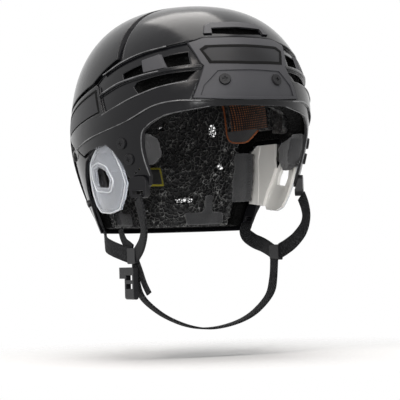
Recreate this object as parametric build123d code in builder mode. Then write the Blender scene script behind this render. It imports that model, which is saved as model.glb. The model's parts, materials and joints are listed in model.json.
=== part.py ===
from build123d import *
from math import hypot, pi, sin
import os

# Ice hockey helmet: two overlapping shell halves, foam liner, pads, ear guards and chin straps.
# Frame: +Z is up, the face looks along -Y and the wearer's right is -X. The plane x = 0 is the middle,
# y = 0 is the widest station and z = 0 is the rim of the rear shell. All sizes are in millimetres.

os.makedirs("parts", exist_ok=True)

# Smooth outer form of the helmet
half_width = 104.6
front_reach = 139.0
rear_reach = 127.4
crown_level = 202.5
widest_level = 80.7
brow_level = 112.0
crown_exponent = 2.49
rim_exponent = 1.43
rim_draw_share = 0.215
temple_draw_share = 0.117
temple_run = 60.0
form_length = front_reach + rear_reach

# Depths below the outer form, from the outside in
plate_rise = 0.9
vent_rise = 1.3
seat_gap = 0.1
plate_bed = 1.2
badge_bed = 1.8
plate_floor = 0.6
temple_relief = 1.4
lower_wall = 2.8
anchor_gap = 0.3
anchor_wall = 2.2
vent_relief = 2.4
lower_relief = 2.6
shell_inner = 4.2
slide_gap = 0.4
tongue_wall = 2.4
pocket_relief = 7.4
pocket_wall = 2.2
fit_gap = 0.3
foam_thickness = 9.0
pad_thickness = 6.5
comfort_thickness = 5.0
temple_pad_thickness = 11.5
guard_relief = 6.6
guard_wall = 2.2
guard_border_rise = 0.9
flange_step = 0.8
vent_floor = 13.0
vent_round = 1.5
vent_reach = 40.0
tongue_relief = shell_inner + slide_gap
tongue_inner = tongue_relief + tongue_wall
pocket_inner = pocket_relief + pocket_wall
anchor_relief = lower_relief + lower_wall + anchor_gap
slide_travel = 7.0
liner_drop = 2.6
front_foam_relief = shell_inner + fit_gap
crown_foam_relief = tongue_inner + liner_drop
rear_foam_relief = pocket_inner + fit_gap
foam_inner = crown_foam_relief + foam_thickness
pad_relief = foam_inner + fit_gap
pad_inner = pad_relief + pad_thickness
comfort_relief = pad_inner + fit_gap
comfort_inner = comfort_relief + comfort_thickness
flange_relief = pocket_inner + fit_gap
flange_inner = flange_relief + guard_wall
lobe_relief = guard_relief + guard_wall + fit_gap
temple_pad_inner = front_foam_relief + temple_pad_thickness

# Fasteners
screw_head_radius = 5.2
screw_head_height = 1.8
head_taper = 16.0
screw_shank_radius = 2.3
screw_hole_gap = 0.25
screw_length = 7.2
rear_screw_length = 5.4
rear_head_radius = 4.1
recess_length = 4.6
recess_width = 1.2
recess_depth = 1.1
nut_radius = 6.0
rear_nut_radius = 4.6
nut_thickness = 1.6
nut_pocket_gap = 0.6
nut_pocket_depth = 3.4
nut_seat_gap = 0.55
brow_nut_gap = 0.85
rear_nut_gap = 0.75
stud_height = 2.2
stud_neck_radius = 3.2
peg_hole_radius = 1.3

# Straps and their fittings
strap_width = 14.0
strap_thickness = 1.6
clip_wall = 2.4
clip_width = 17.5
clip_height = 18.5
clip_round = 4.5
clip_slot_height = 3.4
clip_slot_width = 11.5
clip_bar = 3.0
clip_depth = 7.0
leaned_count = 3
joiner_width = 17.0
joiner_height = 14.0
joiner_thickness = 4.6
joiner_round = 1.6
buckle_width = 20.0
buckle_height = 26.0
buckle_thickness = 4.8
buckle_round = 1.4
buckle_bar = 3.2
buckle_slot = 4.4
tail_width = 8.5
pull_width = 10.0
pull_length = 12.0
pull_thickness = 1.8
tag_wall = 0.8

# Working values
stud_reach = lower_wall + anchor_gap + anchor_wall + stud_height
overrun = 60.0
slope_step = 0.5
ring_count = 7
low_ring_count = 5
top_share = 0.06
sides = (("right", -1), ("left", 1))


def side_share(level, inset):
    """Half width at a level as a share of the widest."""
    if level >= widest_level:
        climb = (level - widest_level) / (crown_level - inset - widest_level)
        return max(0, 1 - climb**crown_exponent) ** (1 / crown_exponent)
    return 1 - rim_draw_share * ((widest_level - level) / widest_level) ** rim_exponent


def front_share(level, inset):
    """Front reach at a level as a share of the longest, drawn back towards the temples."""
    drop = min(1, max(0, (brow_level - level) / temple_run))
    return side_share(level, inset) - temple_draw_share * drop * (2 - drop)


def form_levels(inset):
    """Levels of the rings that carry the form, closer together towards the crown."""
    low = [widest_level * i / low_ring_count for i in range(low_ring_count)]
    span = crown_level - inset - widest_level
    last = (1 - top_share**crown_exponent) ** (1 / crown_exponent)
    high = [widest_level + span * last * sin(pi / 2 * i / ring_count) for i in range(ring_count)]
    return low + high + [widest_level + span * last]


forms = {}


def form(inset):
    """Closed solid of the smooth outer form, drawn in all round by inset."""
    if inset not in forms:
        with BuildPart() as bowl:
            for level in form_levels(inset):
                across = (half_width - inset) * side_share(level, inset)
                ahead = (front_reach - inset) * front_share(level, inset)
                behind = (rear_reach - inset) * side_share(level, inset)
                with BuildSketch(Plane.XY.offset(level)):
                    with BuildLine():
                        EllipticalCenterArc((0, 0), across, behind, start_angle=0, arc_size=180)
                        EllipticalCenterArc((0, 0), across, ahead, start_angle=180, arc_size=180)
                    make_face()
            loft()
        forms[inset] = bowl.part
    return forms[inset]


def side_points(shares):
    """Points of a side view outline, from shares of the length and the height."""
    return [(y_share * form_length, z_share * crown_level) for y_share, z_share in shares]


def front_points(shares):
    """Points of a front view outline, from shares of the half width and the height."""
    return [(x_share * half_width, z_share * crown_level) for x_share, z_share in shares]


def side_zone(shares, sign=0, rounding=0):
    """Prism along X over a side view outline, on one side or on both."""
    with BuildPart() as prism:
        with BuildSketch(Plane.YZ) as outline:
            with BuildLine():
                Polyline(side_points(shares), close=True)
            make_face()
            if rounding:
                fillet(outline.vertices(), rounding)
        reach = half_width + overrun
        if sign:
            extrude(amount=sign * reach)
        else:
            extrude(amount=reach, both=True)
    return prism.part


def front_zone(shares):
    """Prism along -Y over a front view outline."""
    with BuildPart() as prism:
        with BuildSketch(Plane.XZ):
            with BuildLine():
                Polyline(front_points(shares), close=True)
            make_face()
        extrude(amount=front_reach + overrun)
    return prism.part


def back_zone(shares):
    """Prism along +Y over a front view outline."""
    with BuildPart() as prism:
        with BuildSketch(Plane.XZ):
            with BuildLine():
                Polyline(front_points(shares), close=True)
            make_face()
        extrude(amount=-rear_reach - overrun)
    return prism.part


def mirrored(shares):
    """A front view outline with its own mirror image across x = 0."""
    return shares + [(-x_share, z_share) for x_share, z_share in reversed(shares) if x_share]


def turned(shares):
    """The mirror image of a front view outline across x = 0."""
    return [(-x_share, z_share) for x_share, z_share in shares]


def half_axes(level, inset, front):
    """Half width and reach of the form at a level."""
    reach = front_reach if front else rear_reach
    share = front_share(level, inset) if front else side_share(level, inset)
    return (half_width - inset) * side_share(level, inset), (reach - inset) * share


def skin_normal(x, y, level, inset):
    """Outward direction of the form at a point on it."""
    front = y < 0
    across, ahead = half_axes(level, inset, front)
    low = half_axes(level - slope_step, inset, front)
    high = half_axes(level + slope_step, inset, front)
    low_radius = hypot(x / low[0], y / low[1])
    high_radius = hypot(x / high[0], y / high[1])
    rise = (high_radius - low_radius) / (2 * slope_step)
    return Vector(x / across**2, y / ahead**2, rise)


def side_plane(y_share, z_share, sign, inset):
    """Plane that lies on the side of the form, facing out."""
    y = y_share * form_length
    level = z_share * crown_level
    across, ahead = half_axes(level, inset, y < 0)
    x = sign * across * (1 - (y / ahead) ** 2) ** 0.5
    return Plane(origin=(x, y, level), x_dir=(0, 1, 0), z_dir=skin_normal(x, y, level, inset))


def brow_plane(x_share, z_share, inset):
    """Plane that lies on the brow, facing out."""
    x = x_share * half_width
    level = z_share * crown_level
    across, ahead = half_axes(level, inset, True)
    y = -ahead * (1 - (x / across) ** 2) ** 0.5
    return Plane(origin=(x, y, level), x_dir=(1, 0, 0), z_dir=skin_normal(x, y, level, inset))


def rods(planes, radius, depth):
    """Cylinders that stand on planes, both ways, to cut holes with."""
    with BuildPart() as cutters:
        with BuildSketch(*planes):
            Circle(radius)
        extrude(amount=depth, both=True)
    return cutters.part


# Side view outlines, as shares of the form's length and of the crown's level
front_outline_shares = [
    (-0.582, 0.514), (-0.465, 0.511), (-0.39, 0.489), (-0.353, 0.472), (-0.323, 0.449),
    (-0.298, 0.415), (-0.287, 0.356), (-0.283, 0.296), (-0.283, 0.232), (-0.27, 0.193),
    (-0.248, 0.18), (-0.225, 0.193), (-0.21, 0.237), (-0.199, 0.296), (-0.176, 0.346),
    (-0.143, 0.378), (-0.045, 0.36), (0.011, 0.341), (0.143, 0.41), (0.218, 0.499), (0.221, 0.523),
    (-0.083, 0.637), (-0.116, 0.681), (-0.199, 0.736), (-0.176, 0.795), (-0.143, 0.889),
    (-0.101, 0.963), (-0.083, 1.062), (-0.582, 1.062),
]
crown_zone_shares = [
    (-0.116, 0.681), (-0.199, 0.728), (-0.267, 0.758), (-0.334, 0.778), (-0.387, 0.798),
    (-0.563, 0.835), (-0.563, 1.111), (-0.056, 1.111), (-0.075, 0.691),
]
bead_zone_shares = [
    (-0.113, 0.588), (-0.135, 0.595), (-0.195, 0.622), (-0.24, 0.637), (-0.327, 0.657),
    (-0.368, 0.667), (-0.428, 0.674), (-0.563, 0.691), (-0.563, 0.706), (-0.428, 0.687),
    (-0.368, 0.68), (-0.327, 0.669), (-0.24, 0.648), (-0.195, 0.633), (-0.128, 0.603),
]
band_zone_shares = [
    (0.263, 0.395), (0.169, 0.42), (0.015, 0.457), (-0.139, 0.504), (-0.252, 0.553),
    (-0.308, 0.578), (-0.368, 0.602), (-0.462, 0.627), (-0.563, 0.647), (-0.563, 0.533),
    (-0.462, 0.533), (-0.409, 0.538), (-0.345, 0.521), (-0.255, 0.469), (-0.075, 0.415),
    (0.09, 0.37), (0.15, 0.336), (0.263, 0.326),
]
temple_zone_shares = [
    (-0.563, 0.533), (-0.462, 0.533), (-0.409, 0.538), (-0.345, 0.521), (-0.255, 0.469),
    (-0.075, 0.415), (0.09, 0.37), (0.09, 0.148), (-0.563, 0.148),
]
arm_zone_shares = [
    (-0.083, 0.642), (-0.098, 0.632), (-0.15, 0.509), (0, 0.459), (0.263, 0.385), (0.263, 0.543),
]
side_recess_shares = [(-0.092, 0.62), (-0.128, 0.516), (0.165, 0.432), (0.195, 0.516)]
badge_shares = [(-0.086, 0.61), (-0.119, 0.521), (0.161, 0.443), (0.187, 0.511)]
slot_shares = (
    [
    (-0.216, 0.649), (-0.236, 0.653), (-0.308, 0.67), (-0.289, 0.712), (-0.248, 0.695),
    (-0.206, 0.673),
],
    [
    (-0.357, 0.681), (-0.413, 0.692), (-0.39, 0.746), (-0.353, 0.737), (-0.317, 0.723),
],
    [
    (-0.289, 0.579), (-0.368, 0.609), (-0.42, 0.625), (-0.432, 0.663), (-0.368, 0.656),
    (-0.327, 0.646), (-0.274, 0.63), (-0.267, 0.61),
],
)
bridge_shares = [(-0.302, 0.669), (-0.364, 0.682), (-0.328, 0.743), (-0.28, 0.723)]
rear_crown_shares = [
    (-0.165, 0.743), (-0.143, 0.8), (-0.109, 0.889), (-0.068, 0.963), (-0.045, 1.111),
    (0.563, 1.111), (0.563, -0.099), (0.263, -0.099), (0.233, 0.296), (0.225, 0.425),
    (0.244, 0.489), (0.248, 0.536), (-0.06, 0.649), (-0.109, 0.696),
]
rear_low_shares = [
    (-0.026, 0.341), (0.011, 0.328), (0.18, 0.415), (0.248, 0.494), (0.3, 0.444), (0.3, -0.049),
    (0.075, -0.049), (0.116, 0.069), (0.101, 0.128), (0.086, 0.193), (0.053, 0.262),
    (0.015, 0.316),
]
rear_outline_shares = [
    (-0.218, 0.746), (-0.195, 0.815), (-0.161, 0.904), (-0.124, 0.983), (-0.105, 1.111),
    (0.563, 1.111), (0.563, 0), (0.124, 0), (0.116, 0.069), (0.101, 0.128), (0.086, 0.193),
    (0.053, 0.262), (0.015, 0.316), (-0.026, 0.341), (-0.053, 0.365), (-0.068, 0.469),
    (-0.09, 0.583), (-0.165, 0.711),
]
tongue_shares = [
    (-0.225, 0.716), (-0.225, 1.111), (0, 1.111), (0.038, 0.647), (0, 0.296), (-0.263, 0.296),
]
pocket_shares = [(0, 0.296), (0.18, 0.415), (0.24, 0.494), (0.248, 0.536), (0, 0.627)]
tongue_hollow_shares = [(-0.263, 0.296), (-0.263, 1.111), (0, 1.111), (0, 0.296)]
low_hollow_shares = [
    (-0.038, 0.296), (0.03, 0.316), (0.188, 0.41), (0.225, 0.449), (0.263, 0.395), (0.263, -0.049),
    (-0.038, -0.049),
]
rear_hollow_shares = [
    (-0.128, 0.79), (-0.09, 0.889), (-0.045, 0.963), (-0.019, 1.111), (0.526, 1.111),
    (0.526, -0.099), (0.263, -0.099), (0.225, 0.099), (0.225, 0.395), (0.263, 0.514),
    (0.255, 0.553), (-0.03, 0.662), (-0.075, 0.711),
]
front_foam_shares = [
    (-0.563, 0.528), (-0.465, 0.526), (-0.39, 0.504), (-0.338, 0.479), (-0.3, 0.444),
    (-0.27, 0.415), (-0.158, 0.415), (-0.045, 0.395), (-0.036, 0.642), (-0.036, 1.062),
    (-0.563, 1.062),
]
crown_foam_shares = [
    (-0.27, 1.062), (-0.27, 0.741), (-0.225, 0.617), (-0.173, 0.415), (-0.165, 0.37), (0, 0.37),
    (0, 1.062),
]
rear_foam_shares = [
    (-0.032, 1.062), (-0.032, 0.642), (-0.039, 0.415), (0.143, 0.415), (0.18, 0.37),
    (0.165, 0.237), (0.143, 0.119), (0.143, 0.02), (0.563, 0.02), (0.563, 1.062),
]
brow_pad_shares = [
    (-0.563, 0.536), (-0.443, 0.536), (-0.375, 0.514), (-0.323, 0.489), (-0.278, 0.514),
    (-0.315, 0.632), (-0.563, 0.672),
]
crown_pad_shares = [
    (-0.42, 0.731), (-0.315, 0.667), (-0.075, 0.701), (-0.039, 0.701), (-0.039, 1.062),
    (-0.42, 1.062),
]
rear_pad_shares = [
    (-0.028, 1.062), (-0.028, 0.681), (-0.03, 0.454), (0.135, 0.454), (0.188, 0.405),
    (0.18, 0.247), (0.165, 0.119), (0.165, 0.025), (0.563, 0.025), (0.563, 1.062),
]
ear_pad_shares = [
    (0.113, 0.36), (0.185, 0.365), (0.179, 0.247), (0.164, 0.133), (0.079, 0.133),
]
side_pad_shares = [
    (-0.27, 0.435), (-0.248, 0.602), (-0.173, 0.672), (-0.045, 0.681), (-0.045, 0.435),
    (-0.135, 0.425),
]
temple_pad_shares = [
    (-0.267, 0.281), (-0.289, 0.311), (-0.297, 0.351), (-0.293, 0.39), (-0.27, 0.415),
    (-0.158, 0.415), (-0.045, 0.395), (-0.019, 0.365), (-0.038, 0.301), (-0.09, 0.262),
    (-0.165, 0.262), (-0.225, 0.281),
]
temple_seat_shares = [(-0.338, 0.198), (-0.338, 0.444), (-0.188, 0.444), (-0.188, 0.198)]
nape_pad_shares = [
    (0.161, 0.03), (0.176, 0.089), (0.218, 0.094), (0.229, 0.173), (0.563, 0.173), (0.563, 0.03),
]
guard_shares = [
    (-0.113, 0.395), (-0.053, 0.356), (0.004, 0.306), (0.03, 0.257), (0.056, 0.178),
    (0.056, 0.123), (0.03, 0.091), (-0.045, 0.084), (-0.105, 0.099), (-0.143, 0.148),
    (-0.173, 0.207), (-0.173, 0.267), (-0.161, 0.326), (-0.143, 0.375),
]
guard_hole_shares = [
    (-0.056, 0.286), (-0.015, 0.277), (0, 0.237), (-0.004, 0.202), (-0.083, 0.193),
    (-0.101, 0.227), (-0.09, 0.267),
]
guard_rim_shares = [
    (-0.056, 0.306), (0, 0.291), (0.019, 0.242), (0.011, 0.183), (-0.086, 0.173), (-0.12, 0.222),
    (-0.101, 0.286),
]
guard_field_shares = [
    (-0.109, 0.378), (-0.056, 0.343), (-0.004, 0.295), (0.02, 0.25), (0.045, 0.175), (0.045, 0.13),
    (0.026, 0.106), (-0.044, 0.099), (-0.1, 0.114), (-0.134, 0.158), (-0.161, 0.211),
    (-0.161, 0.266), (-0.151, 0.321), (-0.136, 0.36),
]
flange_shares = [
    (0.011, 0.281), (0.026, 0.326), (0.03, 0.395), (0.135, 0.395), (0.167, 0.356), (0.15, 0.237),
    (0.124, 0.123), (0.045, 0.109), (0.041, 0.173), (0.019, 0.247),
]
flange_edge_shares = [
    (0.113, 0.444), (0.188, 0.444), (0.188, 0.049), (0.06, 0.049), (0.079, 0.138), (0.124, 0.326),
]
flange_web_shares = [
    (0.011, 0.281), (0.036, 0.267), (0.062, 0.183), (0.062, 0.121), (0.045, 0.109), (0.041, 0.173),
    (0.019, 0.247),
]
guard_lug_shares = [
    (-0.154, 0.341), (-0.146, 0.375), (-0.113, 0.395), (-0.068, 0.365), (-0.068, 0.341),
]

# Front view outlines, as shares of the half width and of the crown's level
plate_shares = [
    (0, 0.807), (0.315, 0.805), (0.43, 0.785), (0.387, 0.694), (0.368, 0.681), (0.43, 0.602),
    (0.473, 0.546), (0.239, 0.537), (0, 0.535),
]
plate_recess_shares = [
    (0, 0.662), (0.277, 0.659), (0.392, 0.598), (0.421, 0.556), (0.191, 0.548), (0, 0.547),
]
badge_bed_shares = [(0, 0.774), (0.32, 0.771), (0.369, 0.754), (0.327, 0.691), (0, 0.687)]
brow_badge_shares = [
    (0, 0.769), (0.313, 0.766), (0.354, 0.751), (0.318, 0.697), (0, 0.693),
]
plate_bed_shares = [
    (0, 0.81), (0.318, 0.807), (0.436, 0.787), (0.392, 0.694), (0.374, 0.681), (0.436, 0.602),
    (0.48, 0.543), (0.239, 0.535), (0, 0.532),
]
arch_shares = [
    (0, 0.884), (0.201, 0.879), (0.258, 0.864), (0.296, 0.827), (0.234, 0.827), (0.22, 0.852),
    (0, 0.857),
]
arch_slot_shares = [(0, 0.854), (0.213, 0.849), (0.228, 0.825), (0, 0.82)]

clip_place_share = (-0.248, 0.232)
anchor_shares = [
    (0.107, 0.163), (0.145, 0.163), (0.152, 0.074), (0.148, 0.027), (0.105, 0.027), (0.101, 0.074),
]
anchor_slot_shares = [(0.111, 0.064), (0.143, 0.064), (0.142, 0.043), (0.112, 0.043)]
tag_side_shares = [(0.15, 0.222), (0.488, 0.222), (0.488, 0.311), (0.15, 0.311)]
nape_view_shares = [
    (0.258, 0.02), (0.631, 0.02), (0.631, 0.094), (0.535, 0.094), (0.526, 0.178), (0.44, 0.178),
    (0.411, 0.094), (0.268, 0.094),
]
tag_back_shares = [(-0.086, 0.198), (0.143, 0.198), (0.124, 0.336), (-0.105, 0.336)]

# Strap routes on the left side, as shares of the half width, the form's length and the crown's level
front_strap_shares = [
    (0.761, -0.246, 0.145), (0.763, -0.268, 0.094), (0.757, -0.28, 0.044), (0.738, -0.268, -0.007),
    (0.713, -0.225, -0.054), (0.692, -0.176, -0.084), (0.678, -0.14, -0.1),
]
rear_strap_shares = [
    (0.703, 0.128, 0.031), (0.69, 0.128, 0.015), (0.677, 0.127, -0.002), (0.685, 0.118, -0.025),
    (0.713, 0.083, -0.051), (0.721, 0.03, -0.068), (0.707, -0.026, -0.085), (0.682, -0.085, -0.103),
]
strap_tail_shares = [
    (0.667, -0.101, -0.075), (0.671, -0.077, -0.061), (0.677, -0.049, -0.046), (0.683, -0.03, -0.018),
    (0.685, -0.019, 0.015),
]
free_end_shares = [
    (0.659, -0.129, -0.135), (0.646, -0.145, -0.178), (0.63, -0.159, -0.227), (0.6, -0.17, -0.272),
]
anchor_place_share = (0.128, 0.03)
chin_strap_shares = [
    (0.656, -0.113, -0.136), (0.644, -0.11, -0.222), (0.598, -0.116, -0.291), (0.468, -0.128, -0.356),
    (0.325, -0.135, -0.398), (0.163, -0.128, -0.425), (0, -0.12, -0.435),
]
joiner_place_share = (0.675, -0.113, -0.106)
buckle_place_share = (0.691, -0.107, -0.219)

# Places of the fasteners
brow_screw_shares = [(-0.232, 0.621), (0.232, 0.621)]
temple_screw_shares = [(-0.22, 0.375), (-0.235, 0.306)]
peg_hole_shares = [(-0.242, 0.249), (-0.257, 0.262)]
rear_screw_shares = [(0.19, 0.38), (0.165, 0.346)]
snap_shares = [(0.126, 0.136)]

# Rear vents on the left side: middle at the pad, and middle at the shell; then their widths and heights
rear_vent_shares = (
    [
    (0.131, 0.372, 0.514), (0.23, 0.461, 0.522),
],
    [
    (0.544, 0.262, 0.477), (0.658, 0.357, 0.486),
],
    [
    (0.574, 0.233, 0.303), (0.688, 0.328, 0.31),
],
    [
    (0.287, 0.304, 0.153), (0.378, 0.383, 0.156),
],
)
rear_vent_sizes = ((5.5, 9.5), (6.5, 14.0), (7.5, 6.5), (19.0, 4.6))


def side_planes(places, sign, inset):
    """Planes on one side of the form, one for each place."""
    return [side_plane(y_share, z_share, sign, inset) for y_share, z_share in places]


def sunk_planes(planes, depth):
    """The same planes, moved in along their own normals."""
    return [plane.offset(-depth) for plane in planes]


brow_planes = [brow_plane(x_share, z_share, -seat_gap) for x_share, z_share in brow_screw_shares]
temple_planes = {side: side_planes(temple_screw_shares, sign, temple_relief) for side, sign in sides}
peg_planes = {side: side_planes(peg_hole_shares, sign, temple_relief) for side, sign in sides}
rear_planes = {side: side_planes(rear_screw_shares, sign, lower_relief) for side, sign in sides}
snap_planes = {side: side_planes(snap_shares, sign, lower_relief) for side, sign in sides}
brow_nut_planes = sunk_planes(brow_planes, shell_inner + seat_gap + brow_nut_gap)
temple_nut_depth = shell_inner - temple_relief + nut_seat_gap
temple_nut_planes = {side: sunk_planes(temple_planes[side], temple_nut_depth) for side, _ in sides}
rear_nut_planes = {side: sunk_planes(rear_planes[side], lower_wall + rear_nut_gap) for side, _ in sides}


# Wells of the vents, and the screw and peg holes of the front shell
with BuildPart() as vent_wells:
    for _, sign in sides:
        for slot in slot_shares:
            add(side_zone(slot, sign))
    add(form(vent_floor), mode=Mode.SUBTRACT)
front_holes = [rods(brow_planes, screw_shank_radius + screw_hole_gap, screw_length)]
for side, _ in sides:
    front_holes.append(rods(temple_planes[side], screw_shank_radius + screw_hole_gap, screw_length))
    front_holes.append(rods(peg_planes[side], peg_hole_radius, screw_length))

# Front shell: crown, raised bands with vents between them, temples and two arms to the rear
with BuildPart() as front_raised:
    add(side_zone(crown_zone_shares))
    add(side_zone(bead_zone_shares))
    add(side_zone(band_zone_shares))
    add(side_zone(arm_zone_shares))
    add(side_zone(front_outline_shares), mode=Mode.INTERSECT)
with BuildPart() as front_sunk:
    add(side_zone(front_outline_shares))
    add(front_raised.part, mode=Mode.SUBTRACT)
    add(side_zone(temple_zone_shares), mode=Mode.SUBTRACT)
with BuildPart() as front_temple:
    add(side_zone(front_outline_shares))
    add(side_zone(temple_zone_shares), mode=Mode.INTERSECT)
    add(front_raised.part, mode=Mode.SUBTRACT)
with BuildPart() as front_shell:
    add(form(0) & front_raised.part)
    add(form(vent_relief) & front_sunk.part)
    add(form(temple_relief) & front_temple.part)
    add(form(shell_inner), mode=Mode.SUBTRACT)
    add(vent_wells.part, mode=Mode.SUBTRACT)
    add(side_zone(side_recess_shares) - form(badge_bed), mode=Mode.SUBTRACT)
    add(front_zone(mirrored(plate_bed_shares)) - form(plate_bed), mode=Mode.SUBTRACT)
    add(front_zone(mirrored(arch_slot_shares)), mode=Mode.SUBTRACT)
    add(front_holes, mode=Mode.SUBTRACT)
front_shell.part.label = "front_shell"
export_step(front_shell.part, "parts/front_shell.step")



def rear_vent_cutters():
    """Slanted blocks, on both sides, that cut the rear vents through shell, foam and pad."""
    with BuildPart() as cutters:
        for places, (width, height) in zip(rear_vent_shares, rear_vent_sizes):
            for _, sign in sides:
                inner, outer = [
                    Vector(sign * x_share * half_width, y_share * form_length, z_share * crown_level)
                    for x_share, y_share, z_share in places
                ]
                way = (outer - inner).normalized()
                across = Vector(way.Y, -way.X, 0).normalized()
                with BuildSketch(Plane(origin=inner, x_dir=across, z_dir=way)):
                    RectangleRounded(width, height, vent_round)
                extrude(amount=vent_reach)
                with BuildSketch(Plane(origin=inner, x_dir=across, z_dir=way)):
                    RectangleRounded(width, height, vent_round)
                extrude(amount=-pad_thickness)
    return cutters.part


rear_vents = rear_vent_cutters()
rear_holes = [
    rods(planes[side], screw_shank_radius + screw_hole_gap, screw_length)
    for planes in (rear_planes, snap_planes)
    for side, _ in sides
]

# Rear shell: proud crown and nape, with a sunk tongue and sunk pockets that pass under the front shell
with BuildPart() as rear_proud:
    add(side_zone(rear_crown_shares))
    add(side_zone(rear_outline_shares), mode=Mode.INTERSECT)
with BuildPart() as rear_low:
    add(side_zone(rear_low_shares))
    add(side_zone(rear_outline_shares), mode=Mode.INTERSECT)
    add(rear_proud.part, mode=Mode.SUBTRACT)
with BuildPart() as rear_pocket:
    add(side_zone(pocket_shares))
    add(side_zone(rear_outline_shares), mode=Mode.INTERSECT)
    add(rear_proud.part, mode=Mode.SUBTRACT)
    add(rear_low.part, mode=Mode.SUBTRACT)
with BuildPart() as rear_tongue:
    add(side_zone(rear_outline_shares))
    add(rear_proud.part, mode=Mode.SUBTRACT)
    add(rear_low.part, mode=Mode.SUBTRACT)
    add(rear_pocket.part, mode=Mode.SUBTRACT)
with BuildPart() as rear_shell:
    add(form(0) & rear_proud.part)
    add(form(lower_relief) & rear_low.part)
    add(form(pocket_relief) & rear_pocket.part)
    add(form(tongue_relief) & rear_tongue.part)
    add(form(pocket_inner), mode=Mode.SUBTRACT)
    add(form(shell_inner) & side_zone(rear_hollow_shares), mode=Mode.SUBTRACT)
    add(form(tongue_inner) & side_zone(tongue_hollow_shares), mode=Mode.SUBTRACT)
    add(form(lower_relief + lower_wall) & side_zone(low_hollow_shares), mode=Mode.SUBTRACT)
    add([rear_vents] + rear_holes, mode=Mode.SUBTRACT)
rear_shell.part.label = "rear_shell"
export_step(rear_shell.part, "parts/rear_shell.step")

# Brow plate: matte cover with a recess for the badge and one round the screws
with BuildPart() as brow_plate:
    add(form(-plate_rise) & front_zone(mirrored(plate_shares)))
    add(form(plate_bed - seat_gap), mode=Mode.SUBTRACT)
    add(front_zone(mirrored(badge_bed_shares)) - form(plate_floor), mode=Mode.SUBTRACT)
    add(front_zone(mirrored(plate_recess_shares)) - form(-seat_gap), mode=Mode.SUBTRACT)
    add(rods(brow_planes, screw_shank_radius + screw_hole_gap, screw_length), mode=Mode.SUBTRACT)
brow_plate.part.label = "brow_plate"
export_step(brow_plate.part, "parts/brow_plate.step")

# Brow badge: plain plate that fills the recess of the brow plate
with BuildPart() as brow_badge:
    add(form(-plate_rise + 2 * seat_gap) & front_zone(mirrored(brow_badge_shares)))
    add(form(plate_floor - seat_gap), mode=Mode.SUBTRACT)
brow_badge.part.label = "brow_badge"
export_step(brow_badge.part, "parts/brow_badge.step")

# Crown vent: low arch over the slot above the brow
with BuildPart() as crown_vent:
    add(form(-vent_rise) & front_zone(mirrored(arch_shares)))
    add(form(-seat_gap), mode=Mode.SUBTRACT)
crown_vent.part.label = "crown_vent"
export_step(crown_vent.part, "parts/crown_vent.step")


def sided(body, sign):
    """A body of the left side, or its mirror image for the right."""
    return body if sign > 0 else mirror(body, about=Plane.YZ)


# Ear guard of the left side: clear plastic skin with a raised border and ear hole, a lug under the front
# shell, and a flange behind a crease that passes inside the rear shell
with BuildPart() as guard_border:
    add(form(guard_relief - guard_border_rise) & side_zone(guard_shares, 1, guard_wall))
    add(side_zone(guard_field_shares, 1, guard_wall), mode=Mode.SUBTRACT)
with BuildPart() as flange:
    add(form(flange_relief) & side_zone(flange_shares, 1))
    add(form(flange_inner), mode=Mode.SUBTRACT)
with BuildPart() as flange_edge:
    add(form(flange_inner) & side_zone(flange_shares, 1) & side_zone(flange_edge_shares, 1))
    add(form(flange_inner + flange_step), mode=Mode.SUBTRACT)
with BuildPart() as flange_web:
    add(form(guard_relief) & side_zone(flange_web_shares, 1))
    add(form(flange_inner), mode=Mode.SUBTRACT)
with BuildPart() as left_guard:
    add(form(guard_relief) & side_zone(guard_shares, 1, guard_wall))
    add(guard_border.part)
    add(form(guard_relief - guard_wall / 2) & side_zone(guard_rim_shares, 1, guard_wall))
    add(form(front_foam_relief) & side_zone(guard_lug_shares, 1))
    add(form(guard_relief + guard_wall), mode=Mode.SUBTRACT)
    add(side_zone(guard_hole_shares, 1, guard_wall), mode=Mode.SUBTRACT)
    add(flange_web.part)
    add(flange.part)
    add(flange_edge.part)

# Bridge between the two upper vent slots, and plain plate in the recess of the arm, both of the left side
left_bridge = (form(0) & side_zone(bridge_shares, 1)) - form(vent_relief - seat_gap)
left_badge = (form(2 * seat_gap) & side_zone(badge_shares, 1)) - form(badge_bed - seat_gap)

for side, sign in sides:
    with BuildPart() as bridge:
        add(sided(left_bridge, sign))
    bridge.part.label = f"vent_bridge_{side}"
    export_step(bridge.part, f"parts/vent_bridge_{side}.step")

    with BuildPart() as side_badge:
        add(sided(left_badge, sign))
    side_badge.part.label = f"side_badge_{side}"
    export_step(side_badge.part, f"parts/side_badge_{side}.step")

    with BuildPart() as guard:
        add(sided(left_guard.part, sign))
    guard.part.label = f"ear_guard_{side}"
    export_step(guard.part, f"parts/ear_guard_{side}.step")

# Front foam: liner under the front shell, open above the ears and the face
with BuildPart() as front_foam:
    add(form(front_foam_relief) & side_zone(front_foam_shares))
    add(side_zone(crown_foam_shares) - form(crown_foam_relief), mode=Mode.SUBTRACT)
    add(form(foam_inner), mode=Mode.SUBTRACT)
    add(rods(brow_nut_planes, nut_radius + nut_pocket_gap, nut_pocket_depth), mode=Mode.SUBTRACT)
    add(vent_wells.part, mode=Mode.SUBTRACT)
front_foam.part.label = "front_foam"
export_step(front_foam.part, "parts/front_foam.step")

# Rear foam: liner under the rear shell
with BuildPart() as rear_foam:
    add(form(rear_foam_relief) & side_zone(rear_foam_shares))
    add(form(foam_inner), mode=Mode.SUBTRACT)
    add(rear_vents, mode=Mode.SUBTRACT)
rear_foam.part.label = "rear_foam"
export_step(rear_foam.part, "parts/rear_foam.step")


def pad_skin(outer, inner, shares, sign=0):
    """Pad that follows the form between two depths, inside a side view outline."""
    return (form(outer) & side_zone(shares, sign)) - form(inner)


with BuildPart() as brow_pad:
    add(pad_skin(pad_relief, pad_inner, brow_pad_shares))
brow_pad.part.label = "brow_pad"
export_step(brow_pad.part, "parts/brow_pad.step")

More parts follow.
